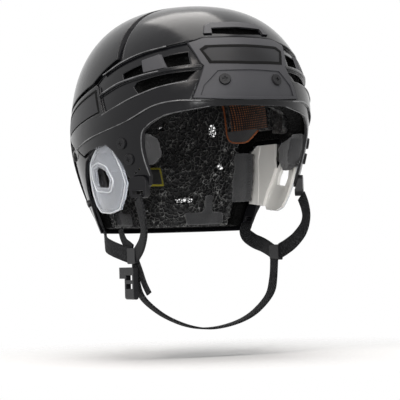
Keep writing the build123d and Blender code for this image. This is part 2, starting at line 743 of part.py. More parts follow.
with BuildPart() as crown_pad:
    add(pad_skin(pad_relief, pad_inner, crown_pad_shares))
crown_pad.part.label = "crown_pad"
export_step(crown_pad.part, "parts/crown_pad.step")

with BuildPart() as rear_pad:
    add(pad_skin(pad_relief, pad_inner, rear_pad_shares))
    add(rear_vents, mode=Mode.SUBTRACT)
rear_pad.part.label = "rear_pad"
export_step(rear_pad.part, "parts/rear_pad.step")

# Nape pad: one low pad with a raised tab on each side
with BuildPart() as nape_pad:
    add(pad_skin(pad_inner, comfort_inner, nape_pad_shares))
    add(back_zone(nape_view_shares) + back_zone(turned(nape_view_shares)), mode=Mode.INTERSECT)
nape_pad.part.label = "nape_pad"
export_step(nape_pad.part, "parts/nape_pad.step")

# Side pad, ear pad and temple pad of the left side. The ear pad is an upright cushion on the front edge of
# the rear pad. The temple pad is a lobe below the front foam, out against the temple and over the ear guard.
left_side_pad = pad_skin(pad_relief, pad_inner, side_pad_shares, 1)
left_ear_pad = pad_skin(pad_relief, pad_inner, ear_pad_shares, 1)
with BuildPart() as left_temple_pad:
    add(form(front_foam_relief) & side_zone(temple_pad_shares, 1) & side_zone(temple_seat_shares))
    add(form(lobe_relief) & side_zone(temple_pad_shares, 1))
    add(form(temple_pad_inner), mode=Mode.SUBTRACT)

for side, sign in sides:
    with BuildPart() as side_pad:
        add(sided(left_side_pad, sign))
    side_pad.part.label = f"side_pad_{side}"
    export_step(side_pad.part, f"parts/side_pad_{side}.step")

    with BuildPart() as ear_pad:
        add(sided(left_ear_pad, sign))
    ear_pad.part.label = f"ear_pad_{side}"
    export_step(ear_pad.part, f"parts/ear_pad_{side}.step")

    with BuildPart() as temple_pad:
        add(sided(left_temple_pad.part, sign))
        add(rods(temple_nut_planes[side], nut_radius + nut_pocket_gap, nut_pocket_depth), mode=Mode.SUBTRACT)
    temple_pad.part.label = f"temple_pad_{side}"
    export_step(temple_pad.part, f"parts/temple_pad_{side}.step")


def screw_body(planes, length, head_radius):
    """Screws that stand on planes: a low round head with a cross recess and a plain shank."""
    heads = [plane.offset(screw_head_height) for plane in planes]
    with BuildPart() as screws:
        with BuildSketch(*planes):
            Circle(head_radius)
        extrude(amount=screw_head_height, taper=head_taper)
        with BuildSketch(*planes):
            Circle(screw_shank_radius)
        extrude(amount=-length)
        with BuildSketch(*heads):
            Rectangle(recess_length, recess_width)
            Rectangle(recess_width, recess_length)
        extrude(amount=-recess_depth, mode=Mode.SUBTRACT)
    return screws.part


def nut_body(planes, radius):
    """Flat round nuts on planes, on their inner side, with a clear hole for the shank."""
    with BuildPart() as nuts:
        with BuildSketch(*planes):
            Circle(radius)
            Circle(screw_shank_radius + screw_hole_gap, mode=Mode.SUBTRACT)
        extrude(amount=-nut_thickness)
    return nuts.part


with BuildPart() as brow_screws:
    add(screw_body(brow_planes, screw_length, screw_head_radius))
brow_screws.part.label = "brow_screws"
export_step(brow_screws.part, "parts/brow_screws.step")

with BuildPart() as brow_nuts:
    add(nut_body(brow_nut_planes, nut_radius))
brow_nuts.part.label = "brow_nuts"
export_step(brow_nuts.part, "parts/brow_nuts.step")


def fitting(outer, thickness, outline, slot, sign):
    """Plastic plate that follows the form, with a slot for a strap near its lower end."""
    plate = (form(outer) & side_zone(outline, sign, thickness / 2)) - form(outer + thickness)
    return plate - side_zone(slot, sign)


def route(shares, sign):
    """Points of a strap on one side."""
    return [
        Vector(sign * x_share * half_width, y_share * form_length, z_share * crown_level)
        for x_share, y_share, z_share in shares
    ]


def band(points, normals, width):
    """Flat webbing through points, its broad face square to the normals."""
    with BuildPart() as webbing:
        for index, point in enumerate(points):
            back = points[max(0, index - 1)]
            ahead = points[min(len(points) - 1, index + 1)]
            tangent = (ahead - back).normalized()
            across = tangent.cross(normals[index]).normalized()
            with BuildSketch(Plane(origin=point, x_dir=across, z_dir=tangent)):
                Rectangle(width, strap_thickness)
        loft(ruled=True)
    return webbing.part


def block(place_share, sign, width, height, thickness, rounding):
    """Rounded plate that stands on the side of the straps, its broad face outwards."""
    place = route([place_share], sign)[0]
    with BuildPart() as plate:
        with BuildSketch(Plane(origin=place, x_dir=(0, 1, 0), z_dir=(1, 0, 0))):
            RectangleRounded(width, height, rounding)
        extrude(amount=thickness / 2, both=True)
    return plate.part


joiners = []
for side, sign in sides:
    with BuildPart() as temple_screws:
        add(screw_body(temple_planes[side], screw_length - temple_relief, screw_head_radius))
    temple_screws.part.label = f"temple_screws_{side}"
    export_step(temple_screws.part, f"parts/temple_screws_{side}.step")

    with BuildPart() as temple_nuts:
        add(nut_body(temple_nut_planes[side], nut_radius))
    temple_nuts.part.label = f"temple_nuts_{side}"
    export_step(temple_nuts.part, f"parts/temple_nuts_{side}.step")

    with BuildPart() as rear_screws:
        add(screw_body(rear_planes[side], rear_screw_length, rear_head_radius))
    rear_screws.part.label = f"rear_screws_{side}"
    export_step(rear_screws.part, f"parts/rear_screws_{side}.step")

    with BuildPart() as rear_nuts:
        add(nut_body(rear_nut_planes[side], rear_nut_radius))
    rear_nuts.part.label = f"rear_nuts_{side}"
    export_step(rear_nuts.part, f"parts/rear_nuts_{side}.step")

    # Snap stud: takes the strap of a face cage and pins the rear strap's anchor
    with BuildPart() as snap_stud:
        with BuildSketch(*snap_planes[side]):
            Circle(stud_neck_radius)
        extrude(amount=stud_height)
        with BuildSketch(*snap_planes[side]):
            Circle(screw_shank_radius)
        extrude(amount=-(lower_wall + anchor_gap + anchor_wall))
    snap_stud.part.label = f"snap_stud_{side}"
    export_step(snap_stud.part, f"parts/snap_stud_{side}.step")

    # Front clip: hangs the front strap from the foot of the temple
    seat = side_plane(*clip_place_share, sign, temple_relief)
    level_normal = Vector(seat.z_dir.X, seat.z_dir.Y, 0).normalized()
    face = Plane(seat.origin + level_normal * clip_wall, level_normal.cross(Vector(0, 0, -1)), level_normal)
    with BuildPart() as clip:
        with BuildSketch(face):
            with Locations((0, -clip_height / 2)):
                RectangleRounded(clip_width, clip_height, clip_round)
            with Locations((0, clip_bar + clip_slot_height / 2 - clip_height)):
                Rectangle(clip_slot_width, clip_slot_height, mode=Mode.SUBTRACT)
        extrude(amount=-clip_depth)
        add(form(temple_relief - seat_gap), mode=Mode.SUBTRACT)
    clip.part.label = f"front_clip_{side}"
    export_step(clip.part, f"parts/front_clip_{side}.step")

    # Rear anchor: hangs the rear strap inside the rim of the rear shell
    with BuildPart() as anchor:
        add(fitting(anchor_relief, anchor_wall, anchor_shares, anchor_slot_shares, sign))
        add(rods(snap_planes[side], screw_shank_radius + screw_hole_gap, stud_reach), mode=Mode.SUBTRACT)
    anchor.part.label = f"rear_anchor_{side}"
    export_step(anchor.part, f"parts/rear_anchor_{side}.step")

    # Joiner: stitched plastic keeper where the two straps of a side meet
    with BuildPart() as joiner:
        add(block(joiner_place_share, sign, joiner_width, joiner_height, joiner_thickness, joiner_round))
    joiner.part.label = f"strap_joiner_{side}"
    export_step(joiner.part, f"parts/strap_joiner_{side}.step")
    joiners.append(joiner.part)

    outward = Vector(sign, 0, 0)
    with BuildPart() as front_strap:
        add(band(route(front_strap_shares, sign), [outward] * len(front_strap_shares), strap_width))
        add(clip.part, mode=Mode.SUBTRACT)
        add(joiner.part, mode=Mode.SUBTRACT)
    front_strap.part.label = f"front_strap_{side}"
    export_step(front_strap.part, f"parts/front_strap_{side}.step")

    seat = side_plane(*anchor_place_share, sign, anchor_relief)
    leaned = Vector(seat.z_dir.X, seat.z_dir.Y, 0).normalized()
    rear_normals = [leaned] * leaned_count + [outward] * (len(rear_strap_shares) - leaned_count)
    with BuildPart() as rear_strap:
        add(band(route(rear_strap_shares, sign), rear_normals, strap_width))
        add(anchor.part, mode=Mode.SUBTRACT)
        add(joiner.part, mode=Mode.SUBTRACT)
    rear_strap.part.label = f"rear_strap_{side}"
    export_step(rear_strap.part, f"parts/rear_strap_{side}.step")

# Chin strap: one sling from joiner to joiner, turned flat under the chin
left_run = route(chin_strap_shares, 1)
chin_points = [Vector(-point.X, point.Y, point.Z) for point in left_run] + list(reversed(left_run[:-1]))
chin_drop = (chin_strap_shares[0][2] - chin_strap_shares[-1][2]) * crown_level
chin_top = chin_strap_shares[0][2] * crown_level
chin_normals = [
    Vector(point.X / half_width, 0, min(0, point.Z - chin_top) / chin_drop) for point in chin_points
]
with BuildPart() as chin_strap:
    add(band(chin_points, chin_normals, strap_width))
    add(joiners, mode=Mode.SUBTRACT)
chin_strap.part.label = "chin_strap"
export_step(chin_strap.part, "parts/chin_strap.step")

# Strap tail: loose end that stands up from the joiner, on the right
with BuildPart() as strap_tail:
    add(band(route(strap_tail_shares, -1), [Vector(-1, 0, 0)] * len(strap_tail_shares), tail_width))
    add(joiners, mode=Mode.SUBTRACT)
strap_tail.part.label = "strap_tail"
export_step(strap_tail.part, "parts/strap_tail.step")

# Free end: second layer of webbing in front of the chin strap, on the right
with BuildPart() as strap_end:
    add(band(route(free_end_shares, -1), [Vector(-1, 0, 0)] * len(free_end_shares), tail_width))
    add(joiners, mode=Mode.SUBTRACT)
    add(chin_strap.part, mode=Mode.SUBTRACT)
strap_end.part.label = "strap_end"
export_step(strap_end.part, "parts/strap_end.step")

# Ladder lock: buckle frame with two slots and a round lower bar that it tips on, on the right
buckle_place = route([buckle_place_share], -1)[0]
buckle_face = Plane(origin=buckle_place, x_dir=(0, 1, 0), z_dir=(1, 0, 0))
buckle_drop = Vector(0, 0, buckle_height / 2)
with BuildPart() as ladder_lock:
    with BuildSketch(buckle_face):
        RectangleRounded(buckle_width, buckle_height, buckle_round)
        with Locations((0, buckle_bar / 2 + buckle_slot / 2), (0, -buckle_bar / 2 - buckle_slot / 2)):
            Rectangle(strap_width + fit_gap, buckle_slot, mode=Mode.SUBTRACT)
    extrude(amount=buckle_thickness / 2, both=True)
    with BuildSketch(Plane(origin=buckle_place - buckle_drop, x_dir=(1, 0, 0), z_dir=(0, 1, 0))):
        Circle(buckle_thickness / 2)
    extrude(amount=buckle_width / 2, both=True)
ladder_lock.part.label = "ladder_lock"
export_step(ladder_lock.part, "parts/ladder_lock.step")

# Pull tab: thumb grip on the rear edge of the buckle
pull_reach = buckle_width / 2 + pull_length / 2
with BuildPart() as pull_tab:
    with BuildSketch(buckle_face.offset(-buckle_thickness / 2 + pull_thickness / 2)):
        with Locations((pull_reach, buckle_height / 2 - pull_width / 2)):
            Rectangle(pull_length, pull_width)
    extrude(amount=pull_thickness / 2, both=True)
pull_tab.part.label = "pull_tab"
export_step(pull_tab.part, "parts/pull_tab.step")

# Liner tag: plain label on the inside of the rear pad
with BuildPart() as liner_tag:
    add(form(pad_inner + seat_gap) & side_zone(tag_side_shares) & back_zone(tag_back_shares))
    add(form(pad_inner + seat_gap + tag_wall), mode=Mode.SUBTRACT)
liner_tag.part.label = "liner_tag"
export_step(liner_tag.part, "parts/liner_tag.step")
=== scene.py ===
import json
import math

import bmesh
import bpy
from mathutils import Matrix, Vector, noise

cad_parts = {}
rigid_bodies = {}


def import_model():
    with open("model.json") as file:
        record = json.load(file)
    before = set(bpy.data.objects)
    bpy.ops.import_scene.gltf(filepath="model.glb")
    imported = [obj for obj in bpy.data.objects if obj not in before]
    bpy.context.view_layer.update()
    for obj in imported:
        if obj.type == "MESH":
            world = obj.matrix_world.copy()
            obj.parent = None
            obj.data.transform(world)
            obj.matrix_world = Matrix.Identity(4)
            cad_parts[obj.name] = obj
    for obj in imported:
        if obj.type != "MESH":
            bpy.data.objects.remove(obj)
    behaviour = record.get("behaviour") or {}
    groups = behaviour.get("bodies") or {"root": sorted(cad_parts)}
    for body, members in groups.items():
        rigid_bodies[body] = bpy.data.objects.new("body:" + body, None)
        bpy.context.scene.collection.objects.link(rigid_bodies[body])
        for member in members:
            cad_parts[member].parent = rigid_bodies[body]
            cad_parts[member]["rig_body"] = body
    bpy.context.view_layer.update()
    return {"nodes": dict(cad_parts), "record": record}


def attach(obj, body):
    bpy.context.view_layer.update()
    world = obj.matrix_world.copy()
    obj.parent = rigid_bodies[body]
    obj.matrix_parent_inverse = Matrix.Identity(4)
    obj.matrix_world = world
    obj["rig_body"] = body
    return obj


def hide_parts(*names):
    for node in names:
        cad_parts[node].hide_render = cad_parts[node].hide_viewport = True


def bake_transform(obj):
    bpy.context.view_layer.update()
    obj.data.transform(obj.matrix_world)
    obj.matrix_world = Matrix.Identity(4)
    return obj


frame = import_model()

# Ice hockey helmet. Metres, +Z up, the face looks along -Y and the wearer's right is -X.
nodes = frame["nodes"]
slots = {row["node"]: row["material_slot"] for row in frame["record"]["subparts"]}
sides = (("right", -1), ("left", 1))

# Unseeded, this noise would start from the time of day
noise.seed_set(7)

# Smooth outer form, as in the construction model
half_width = 0.1046
front_reach = 0.139
rear_reach = 0.1274
crown_level = 0.2025
widest_level = 0.0807
brow_level = 0.112
crown_exponent = 2.49
rim_exponent = 1.43
rim_draw_share = 0.215
temple_draw_share = 0.117
temple_run = 0.06
pad_face_depth = 0.0254

# Straps: the routes are those of the left side
strap_width = 0.014
strap_thickness = 0.0016
tail_width = 0.0085
front_route = [
    (0.0796, -0.0656, 0.0284), (0.0798, -0.0715, 0.0190), (0.0792, -0.0745, 0.0090),
    (0.0772, -0.0715, -0.0015), (0.0746, -0.0600, -0.0110), (0.0724, -0.0470, -0.0170),
    (0.0709, -0.0374, -0.0203),
]
rear_route = [
    (0.0735, 0.0340, 0.0062), (0.0722, 0.0340, 0.0030), (0.0708, 0.0339, -0.0005),
    (0.0716, 0.0315, -0.0050), (0.0746, 0.0220, -0.0104), (0.0754, 0.0080, -0.0138),
    (0.0740, -0.0070, -0.0172), (0.0713, -0.0226, -0.0208),
]
chin_route = [
    (0.0686, -0.0300, -0.0276), (0.0674, -0.0292, -0.0450), (0.0626, -0.0310, -0.0590),
    (0.0490, -0.0340, -0.0720), (0.0340, -0.0360, -0.0805), (0.0170, -0.0340, -0.0860),
    (0.0, -0.0320, -0.0880),
]
tail_route = [
    (0.0698, -0.0270, -0.0152), (0.0702, -0.0205, -0.0124), (0.0708, -0.0130, -0.0094),
    (0.0714, -0.0080, -0.0036), (0.0716, -0.0050, 0.0030),
]
free_route = [
    (0.0689, -0.0344, -0.0274), (0.0676, -0.0386, -0.0360), (0.0659, -0.0424, -0.0460),
    (0.0628, -0.0454, -0.0550),
]

# The rear straps leave their anchors leaning back: x and y of their face, and for how many route points
rear_lean = (0.956, 0.293)
rear_leaned = 3

# Lower half of a strap's section, in shares of half its width and half its thickness
strap_section = [(-1, -0.35), (-0.94, -1), (-0.45, -1.04), (0, -0.96), (0.45, -1.04), (0.94, -1), (1, -0.35)]

# Inside trims: mesh panels and their borders as y, low and high level, their piping as y and level
mesh_outline = [(-0.006, 0.094, 0.133), (0.015, 0.094, 0.133), (0.035, 0.094, 0.132), (0.050, 0.094, 0.130)]
border_outline = [
    (0.012, 0.0935, 0.0945), (0.030, 0.0845, 0.0945), (0.040, 0.0835, 0.0945), (0.051, 0.0855, 0.0945),
    (0.0545, 0.090, 0.0945),
]
piping_line = [
    (0.0525, 0.130), (0.0545, 0.115), (0.0550, 0.100), (0.0545, 0.090), (0.0500, 0.0845), (0.0380, 0.0830),
    (0.0280, 0.0845), (0.0120, 0.0930),
]
panel_gap = 0.0002
mesh_thickness = 0.0008
border_thickness = 0.0011
piping_gap = 0.0014
piping_radius = 0.0008

# Inner tag and its field: low and high level, x of the ends at each, gap to the pad and thickness
tag_place = (0.045, 0.063, (-0.0097, 0.0146), (-0.0110, 0.0134))
tag_gap = 0.0001
tag_thickness = 0.0013
tag_field = (0.0468, 0.0612, (-0.0080, 0.0128), (-0.0090, 0.0118))
field_gap = 0.0012
field_thickness = 0.0005

# Rear vents on the left: inner place, outer place, width and height
rear_vents = (
    ((0.0137, 0.0991, 0.1041), (0.0241, 0.1228, 0.1057), 0.0055, 0.0095),
    ((0.0569, 0.0698, 0.0966), (0.0688, 0.0951, 0.0984), 0.0065, 0.0140),
    ((0.0600, 0.0621, 0.0614), (0.0720, 0.0874, 0.0628), 0.0075, 0.0065),
    ((0.0300, 0.0810, 0.0310), (0.0395, 0.1020, 0.0316), 0.0190, 0.0046),
)

# Lattice strands that cross these vents. Their knots stray along a smooth noise, less so along the vent.
strand_spacing = 0.0024
strand_thickness = 0.0009
net_margin = 0.003
net_depth = 0.0015
knot_stray = 0.0019
stray_depth_share = 0.3
noise_steps = (1.7, 2.3, 0.7)
first_seed = 0.37

# Outlines as in the construction model: the brow badge in x and level, the others in y and level
brow_gap_shade = [(0, 0.1569), (0.0337, 0.1563), (0.0389, 0.1528), (0.0344, 0.1397), (0, 0.1389)]
side_gap_shade = [(-0.0245, 0.1255), (-0.0341, 0.1045), (0.0440, 0.0875), (0.0519, 0.1045)]
guard_edge = [
    (-0.0301, 0.0800), (-0.0141, 0.0721), (0.0011, 0.0620), (0.0080, 0.0520), (0.0149, 0.0360),
    (0.0149, 0.0249), (0.0080, 0.0184), (-0.0120, 0.0170), (-0.0280, 0.0200), (-0.0381, 0.0300),
    (-0.0461, 0.0419), (-0.0461, 0.0541), (-0.0429, 0.0660), (-0.0381, 0.0759),
]
guard_rim = [
    (-0.0149, 0.0619), (0, 0.0589), (0.0051, 0.0490), (0.0029, 0.0371), (-0.0229, 0.0350), (-0.0320, 0.0450),
    (-0.0269, 0.0579),
]

# Black lines of painted shade round the badges: width and depth under the form, which is negative where they
# stand proud of it
brow_shade_width = 0.0023
brow_shade_depth = -0.0011
side_shade_width = 0.0019
side_shade_depth = -0.0002
shade_ring_thickness = 0.0006

# Beads along the guards' edges, bright as a painted highlight
bead_depth = 0.0055
bead_radius = 0.0006

# Rounded edges of the front shell, drawn as beads whose lighter colour is a painted highlight: depth under
# the form, then y and level
shell_edges = (
    (0.0001, [(-0.0309, 0.1379), (-0.0530, 0.1474), (-0.0711, 0.1535), (-0.0890, 0.1575)]),
    (0.0001, [(-0.0360, 0.1218), (-0.0519, 0.1274), (-0.0639, 0.1303), (-0.0871, 0.1347), (-0.1120, 0.1379)]),
    (0.0001, [(-0.0370, 0.1021), (-0.0671, 0.1120), (-0.0821, 0.1170), (-0.0980, 0.1219), (-0.1150, 0.1252)]),
    (0.0001, [(0.0400, 0.0680), (0.0240, 0.0749), (-0.0200, 0.0840), (-0.0679, 0.0950), (-0.0919, 0.1055),
              (-0.1090, 0.1089), (-0.1230, 0.1082)]),
    (0.0015, [(-0.1239, 0.1035), (-0.1039, 0.0990), (-0.0940, 0.0956), (-0.0860, 0.0909), (-0.0794, 0.0840),
              (-0.0765, 0.0721), (-0.0754, 0.0599), (-0.0754, 0.0470)]),
)
edge_radius = 0.00055

# Fineness of the meshes: steps along straps and tubes, points round a tube and along the sides of a line of
# painted shade, cells of the panels and labels
ribbon_step = 0.0012
tube_step = 0.0015
bead_sides = 8
edge_sides = 10
shade_ring_steps = 10
panel_rows, panel_columns = 24, 40
label_rows, label_columns = 8, 12

# Where a rounded outline keeps points, as shares of each side from its corner
corner_shares = (0.5, 0.3, 0.12)

# Softened pads
pad_voxel = 0.0018
pad_rounds = 6
pad_relax = 0.5

# Stage: floor, backdrop and the camera fitted to the photograph
floor_level = -0.114
floor_reach = 0.6
floor_tone = 0.76
fade_start, fade_end = 0.14, 0.36
backdrop_light = 0.36
backdrop_tint = (0.97, 0.98, 1, 1)
camera_place = (-0.6960, -1.5297, -0.0221)
camera_right = (0.9081, -0.4179, -0.0281)
camera_up = (0.0130, -0.0388, 0.9992)
camera_forward = (0.4186, 0.9077, 0.0298)
camera_lens = 165.8
camera_sensor = 36
camera_far = 20

# Lamps: name, place, aim, width and height, watts and tint
lamps = (
    ("key", (-1.15, -0.75, 1.25), (0, 0, 0.1), (0.45, 0.9), 12, (1, 0.94, 0.89)),
    ("top", (-0.03, -0.135, 1.25), (0, 0, 0.05), (0.7, 3.0), 24, (1, 0.97, 0.94)),
    ("fill", (1.4, -1.3, 0.5), (0, 0, 0.05), (0.4, 1.2), 1.2, (1, 1, 1)),
    ("glint", (-0.62, -1.4, 0.45), (-0.04, -0.1, 0.12), (0.05, 0.35), 7, (1, 1, 1)),
    ("inside", (-0.95, -1.3, 0.1), (0.02, 0, 0.06), (0.4, 0.3), 6, (1, 1, 1)),
)


# The form
def side_share(level, inset):
    """Half width at a level as a share of the widest."""
    if level >= widest_level:
        climb = (level - widest_level) / (crown_level - inset - widest_level)
        return max(0, 1 - climb**crown_exponent) ** (1 / crown_exponent)
    return 1 - rim_draw_share * ((widest_level - level) / widest_level) ** rim_exponent


def front_share(level, inset):
    """Front reach at a level as a share of the longest."""
    drop = min(1, max(0, (brow_level - level) / temple_run))
    return side_share(level, inset) - temple_draw_share * drop * (2 - drop)


def form_reach(y, level, inset):
    """Half width of the form and its reach towards y, at a level."""
    across = (half_width - inset) * side_share(level, inset)
    if y < 0:
        return across, (front_reach - inset) * front_share(level, inset)
    return across, (rear_reach - inset) * side_share(level, inset)


def side_point(y, level, inset, sign):
    """Point on the side of the form."""
    across, along = form_reach(y, level, inset)
    return Vector((sign * across * math.sqrt(max(0, 1 - (y / along) ** 2)), y, level))


def back_point(x, level, inset):
    """Point on the back of the form."""
    across, along = form_reach(1, level, inset)
    return Vector((x, along * math.sqrt(max(0, 1 - (x / across) ** 2)), level))


def front_point(x, level, inset, sign):
    """Point on the front of the form."""
    across, along = form_reach(-1, level, inset)
    return Vector((sign * x, -along * math.sqrt(max(0, 1 - (x / across) ** 2)), level))


# Camera, lights and floor
def add_camera():
    lens = bpy.data.cameras.new("camera")
    lens.lens = camera_lens
    lens.sensor_width = camera_sensor
    lens.clip_end = camera_far
    camera = bpy.data.objects.new("camera", lens)
    turn = Matrix((camera_right, camera_up, [-part for part in camera_forward])).transposed()
    camera.matrix_world = Matrix.Translation(camera_place) @ turn.to_4x4()
    bpy.context.scene.collection.objects.link(camera)
    bpy.context.scene.camera = camera


def add_area(name, place, aim, size, power, tint):
    light = bpy.data.lights.new(name, "AREA")
    light.shape = "RECTANGLE"
    light.size, light.size_y = size
    light.energy = power
    light.color = tint
    lamp = bpy.data.objects.new(name, light)
    lamp.location = place
    lamp.rotation_euler = (Vector(aim) - Vector(place)).to_track_quat("-Z", "Y").to_euler()
    bpy.context.scene.collection.objects.link(lamp)


def white_to_the_eye(tree, lit, white):
    """Mixes in plain white for rays that come from the camera, from gloss or through glass."""
    path = tree.nodes.new("ShaderNodeLightPath")
    seen = path.outputs["Is Camera Ray"]
    for ray in ("Is Glossy Ray", "Is Transmission Ray"):
        either = tree.nodes.new("ShaderNodeMath")
        either.operation = "MAXIMUM"
        tree.links.new(seen, either.inputs[0])
        tree.links.new(path.outputs[ray], either.inputs[1])
        seen = either.outputs[0]
    mix = tree.nodes.new("ShaderNodeMixShader")
    for socket, source in zip(mix.inputs, (seen, lit, white)):
        tree.links.new(source, socket)
    return mix.outputs[0]


def add_world():
    world = bpy.data.worlds.new("studio")
    bpy.context.scene.world = world
    world.use_nodes = True
    tree = world.node_tree
    tree.nodes.clear()
    out = tree.nodes.new("ShaderNodeOutputWorld")
    backdrops = []
    for tint, strength in ((backdrop_tint, backdrop_light), ((1, 1, 1, 1), 1)):
        backdrop = tree.nodes.new("ShaderNodeBackground")
        backdrop.inputs["Color"].default_value = tint
        backdrop.inputs["Strength"].default_value = strength
        backdrops.append(backdrop.outputs[0])
    tree.links.new(white_to_the_eye(tree, *backdrops), out.inputs["Surface"])


def add_floor():
    """Pale floor that keeps the shadow and turns into the white backdrop further out."""
    mesh = bpy.data.meshes.new("floor")
    corners = [(-1, -1), (1, -1), (1, 1), (-1, 1)]
    corners = [(x * floor_reach, y * floor_reach, floor_level) for x, y in corners]
    mesh.from_pydata(corners, [], [(0, 1, 2, 3)])
    floor = bpy.data.objects.new("floor", mesh)
    bpy.context.scene.collection.objects.link(floor)
    tone = (floor_tone, floor_tone, floor_tone, 1)
    paint = Paint("floor", base_color=tone, roughness=0.9, specular_ior_level=0)
    away = paint.node("VectorMath", operation="LENGTH")
    paint.link(paint.coordinates.outputs["Object"], away.inputs[0])
    fade = paint.ramp(away.outputs["Value"], [(fade_start, 0), (fade_end, 1)])
    clear = paint.node("BsdfTransparent")
    mix = paint.node("MixShader")
    for socket, source in zip(mix.inputs, (fade, paint.shader.outputs[0], clear.outputs[0])):
        paint.link(source, socket)
    paint.link(mix.outputs[0], paint.tree.nodes["Material Output"].inputs["Surface"])
    mesh.materials.append(paint.material)


# Materials. Scales are per metre, radii and bump distances in metres.
class Paint:
    """A material with its main shader and short calls for the nodes that feed it."""

    bevel_samples = 6

    def __init__(self, name, **sockets):
        self.material = bpy.data.materials.new(name)
        self.material.use_nodes = True
        self.tree = self.material.node_tree
        self.shader = self.tree.nodes["Principled BSDF"]
        for socket, value in sockets.items():
            self.shader.inputs[socket.replace("_", " ").title().replace("Ior", "IOR")].default_value = value
        self.coordinates = self.tree.nodes.new("ShaderNodeTexCoord")

    def node(self, kind, **settings):
        made = self.tree.nodes.new("ShaderNode" + kind)
        for key, value in settings.items():
            setattr(made, key, value)
        return made

    def link(self, source, target):
        self.tree.links.new(source, target)

    def to(self, socket, source):
        self.link(source, self.shader.inputs[socket])

    def place(self, turn=(0, 0, 0), uv=False):
        """Object coordinates, or those along a strap, turned about the axes."""
        mapping = self.node("Mapping")
        mapping.inputs["Rotation"].default_value = turn
        self.link(self.coordinates.outputs["UV" if uv else "Object"], mapping.inputs["Vector"])
        return mapping.outputs["Vector"]

    def noise(self, scale, detail=3, rough=0.5):
        made = self.node("TexNoise")
        made.inputs["Scale"].default_value = scale
        made.inputs["Detail"].default_value = detail
        made.inputs["Roughness"].default_value = rough
        self.link(self.coordinates.outputs["Object"], made.inputs["Vector"])
        return made.outputs["Fac"]

    def cells(self, scale, where):
        """Distance to the walls between irregular cells."""
        made = self.node("TexVoronoi", feature="DISTANCE_TO_EDGE")
        made.inputs["Scale"].default_value = scale
        self.link(where, made.inputs["Vector"])
        return made.outputs["Distance"]

    def wave(self, where, scale, direction):
        made = self.node("TexWave", wave_type="BANDS", bands_direction=direction)
        made.inputs["Scale"].default_value = scale
        self.link(where, made.inputs["Vector"])
        return made.outputs["Fac"]

    def ramp(self, source, stops):
        """Values between stops, each a place with a colour or a grey."""
        made = self.node("ValToRGB")
        while len(made.color_ramp.elements) < len(stops):
            made.color_ramp.elements.new(0.5)
        for element, (place, color) in zip(made.color_ramp.elements, stops):
            element.position = place
            element.color = (*color, 1) if hasattr(color, "__len__") else (color, color, color, 1)
        self.link(source, made.inputs["Fac"])
        return made.outputs["Color"]

    def math(self, operation, first, second):
        made = self.node("Math", operation=operation)
        for socket, value in zip(made.inputs, (first, second)):
            if isinstance(value, (int, float)):
                socket.default_value = value
            else:
                self.link(value, socket)
        return made.outputs[0]

    def weigh(self, first, second, share):
        """Weighted sum of two values, of which the second has the share."""
        first = self.math("MULTIPLY", first, 1 - share)
        return self.math("ADD", first, self.math("MULTIPLY", second, share))

    def bump(self, height, strength, distance, under=None):
        made = self.node("Bump")
        made.inputs["Strength"].default_value = strength
        made.inputs["Distance"].default_value = distance
        self.link(height, made.inputs["Height"])
        if under is not None:
            self.link(under, made.inputs["Normal"])
        return made.outputs["Normal"]

    def round_edges(self, radius):
        made = self.node("Bevel")
        made.samples = self.bevel_samples
        made.inputs["Radius"].default_value = radius
        return made.outputs["Normal"]

    def edge_wear_and_highlight(self, radius, face, edge):
        """Colour of the faces and of lighter edges, from the angle between the rounded and the true surface;
        the lighter edges are wear on the hardware and fittings and a painted highlight on the shell.
        """
        surface = self.node("NewGeometry")
        dot = self.node("VectorMath", operation="DOT_PRODUCT")
        self.link(self.round_edges(radius), dot.inputs[0])
        self.link(surface.outputs["Normal"], dot.inputs[1])
        return self.ramp(dot.outputs["Value"], [(0.7, edge), (0.99, face)])


def shell_paint():
    """Gloss black moulded shell with a faint ripple and rounded edges, whose lighter colour is a painted
    highlight.
    """
    paint = Paint("gloss_shell", specular_ior_level=0.24)
    ripple = paint.noise(scale=38, detail=1)
    grime = paint.noise(scale=210, detail=4, rough=0.6)
    paint.to("Normal", paint.bump(ripple, strength=0.08, distance=0.002, under=paint.round_edges(0.0016)))
    paint.to("Roughness", paint.ramp(grime, [(0.35, 0.15), (0.7, 0.22)]))
    # The lighter edge colour is a painted highlight along the rounded edges
    paint.to("Base Color", paint.edge_wear_and_highlight(0.0008, face=(0.004, 0.004, 0.005), edge=(0.05, 0.05, 0.053)))
    return paint.material


def shell_highlight_paint():
    """Polished edge of the moulded shell, its lighter colour a painted highlight."""
    paint = Paint("shell_edge_highlight", specular_ior_level=0.7)
    ripple = paint.noise(scale=160, detail=2)
    paint.to("Normal", paint.bump(ripple, strength=0.15, distance=0.0004))
    paint.to("Roughness", paint.ramp(ripple, [(0.35, 0.14), (0.7, 0.24)]))
    # The lighter base colour is a painted highlight along the edge
    paint.to("Base Color", paint.ramp(ripple, [(0.3, (0.05, 0.05, 0.052)), (0.7, (0.16, 0.16, 0.165))]))
    return paint.material


def cover_paint():
    """Matte grey cover with a fine moulded grain."""
    paint = Paint("matte_cover", specular_ior_level=0.25)
    grain = paint.noise(scale=1900, detail=2, rough=0.6)
    cloud = paint.noise(scale=24, detail=2)
    paint.to("Normal", paint.bump(grain, strength=0.25, distance=0.0002, under=paint.round_edges(0.0007)))
    paint.to("Base Color", paint.ramp(cloud, [(0.3, (0.034, 0.034, 0.038)), (0.7, (0.043, 0.043, 0.047))]))
    paint.to("Roughness", paint.ramp(grain, [(0.3, 0.46), (0.7, 0.58)]))
    return paint.material


